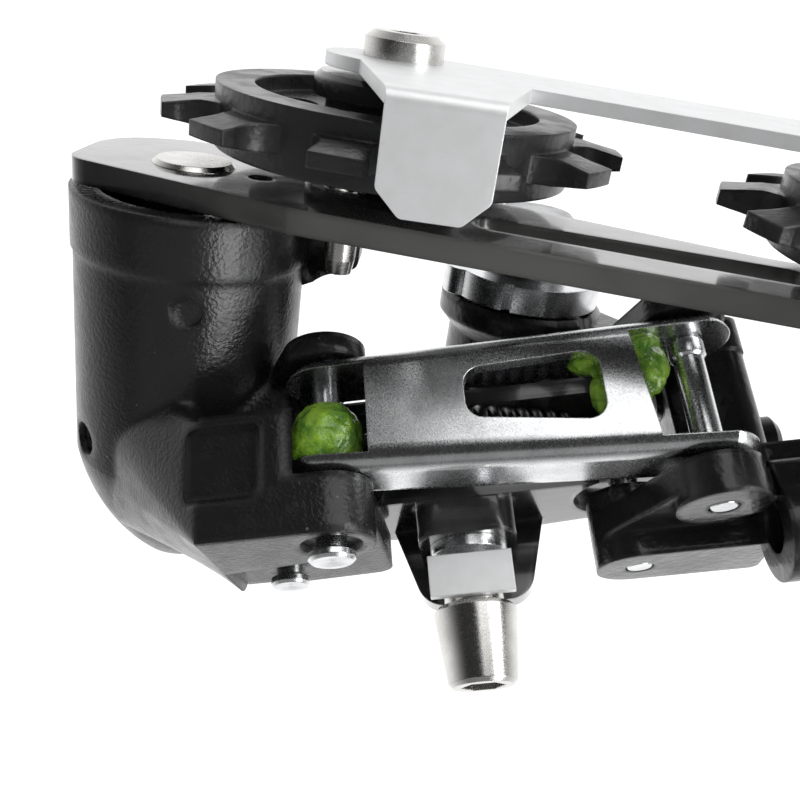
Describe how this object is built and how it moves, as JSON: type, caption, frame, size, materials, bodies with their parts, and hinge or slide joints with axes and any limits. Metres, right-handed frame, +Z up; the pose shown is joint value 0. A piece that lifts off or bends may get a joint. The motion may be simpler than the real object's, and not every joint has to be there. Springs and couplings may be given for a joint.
{
  "type": "rear derailleur",
  "caption": "Bicycle rear derailleur with a parallelogram of folded and cast links, drum knuckle, sprung cage and toothed jockey pulleys.",
  "frame": {"origin": "mounting bolt axis at the hanger face", "axes": "+X forward along the bicycle, +Y inboard along the mounting bolt, +Z up as it hangs in the smallest sprocket"},
  "size_m": [0.1044, 0.0611, 0.0764],
  "materials": {
    "cast_black": "textured satin black over cast alloy",
    "gloss_black": "gloss black paint",
    "bright_steel": "bright plated steel",
    "dark_steel": "dull plated steel",
    "spring_steel": "oiled spring wire",
    "pulley_plastic": "moulded black plastic",
    "cap_steel": "pressed dark sheet",
    "adjuster_plastic": "fluted black plastic"
  },
  "bodies": {
    "hanger_side": {"mounting_bolt": "dark_steel", "stop_plate": "bright_steel", "bolt_ring": "dark_steel"},
    "bracket": {"bracket_body": "cast_black", "bracket_pin_inner": "bright_steel", "bracket_pin_outer": "bright_steel"},
    "adjuster": {"cable_adjuster": "adjuster_plastic"},
    "high_screw": {"limit_screw_high": "dark_steel"},
    "low_screw": {"limit_screw_low": "dark_steel"},
    "body_screw": {"angle_screw": "dark_steel"},
    "inner_arm": {"inner_link": "bright_steel", "return_spring": "spring_steel"},
    "outer_arm": {"outer_link": "gloss_black", "cable_washer": "bright_steel", "cable_plate": "bright_steel", "cable_bolt": "bright_steel"},
    "knuckle": {"plate_body": "cast_black", "cage_pin_inner": "bright_steel", "cage_pin_outer": "bright_steel", "axle_screw": "dark_steel", "cage_spring": "spring_steel"},
    "cage": {"outer_plate": "gloss_black", "inner_plate": "bright_steel", "cage_axle": "dark_steel", "stop_pin": "bright_steel", "guide_bush": "dark_steel", "guide_cap_inner": "cap_steel", "guide_cap_outer": "cap_steel", "guide_bolt": "dark_steel", "tension_bush": "dark_steel", "tension_cap_inner": "cap_steel", "tension_cap_outer": "cap_steel", "tension_bolt": "dark_steel"},
    "guide_wheel": {"guide_pulley": "pulley_plastic"},
    "tension_wheel": {"tension_pulley": "pulley_plastic"}
  },
  "joints": [
    {"name": "bracket_pivot", "type": "hinge", "parent": "hanger_side", "child": "bracket", "pos_m": [0, 0, 0], "axis": [0, 1, 0], "range_deg": [0, 40]},
    {"name": "shift", "type": "hinge", "parent": "bracket", "child": "inner_arm", "pos_m": [-0.02843, -0.00215, -0.0115], "axis": [0.6336, 0.598, 0.491], "range_deg": [0, 55], "stiffness_Nm_per_rad": 0.6, "springref_deg": -51.57, "deforming": ["return_spring"]},
    {"name": "outer_arm_pivot", "type": "hinge", "parent": "bracket", "child": "outer_arm", "pos_m": [-0.02062, -0.01292, -0.00845], "axis": [0.6336, 0.598, 0.491], "range_deg": [0, 55]},
    {"name": "knuckle_pivot", "type": "hinge", "parent": "inner_arm", "child": "knuckle", "pos_m": [-0.00162, -0.01145, -0.03476], "axis": [0.6336, 0.598, 0.491], "range_deg": [-55, 0]},
    {"name": "cage_swing", "type": "hinge", "parent": "knuckle", "child": "cage", "pos_m": [0.02071, 0, -0.03522], "axis": [0, 1, 0], "range_deg": [-110, 0], "stiffness_Nm_per_rad": 0.25, "springref_deg": 68.75, "deforming": ["cage_spring"]},
    {"name": "guide_spin", "type": "hinge", "parent": "cage", "child": "guide_wheel", "pos_m": [0.00802, 0.0157, -0.01886], "axis": [0, 1, 0], "continuous": true},
    {"name": "tension_spin", "type": "hinge", "parent": "cage", "child": "tension_wheel", "pos_m": [-0.04634, 0.0157, 0.00136], "axis": [0, 1, 0], "continuous": true},
    {"name": "adjuster_turn", "type": "hinge", "parent": "bracket", "child": "adjuster", "pos_m": [-0.03982, -0.01241, -0.012], "axis": [-0.7306, 0.2535, 0.634], "range_deg": [-180, 180]},
    {"name": "high_limit_turn", "type": "hinge", "parent": "bracket", "child": "high_screw", "pos_m": [-0.02806, -0.00717, 0.00371], "axis": [-0.7306, 0.2535, 0.634], "range_deg": [-180, 180]},
    {"name": "low_limit_turn", "type": "hinge", "parent": "bracket", "child": "low_screw", "pos_m": [-0.03199, -0.01087, 0.00067], "axis": [-0.7306, 0.2535, 0.634], "range_deg": [-180, 180]},
    {"name": "body_screw_turn", "type": "hinge", "parent": "bracket", "child": "body_screw", "pos_m": [0.00513, -0.0069, 0.01274], "axis": [-0.788, 0, 0.6157], "range_deg": [-180, 180]}
  ],
  "couplings": [
    {"joint": "outer_arm_pivot", "follows": "shift", "ratio": 1},
    {"joint": "knuckle_pivot", "follows": "shift", "ratio": -1}
  ]
}
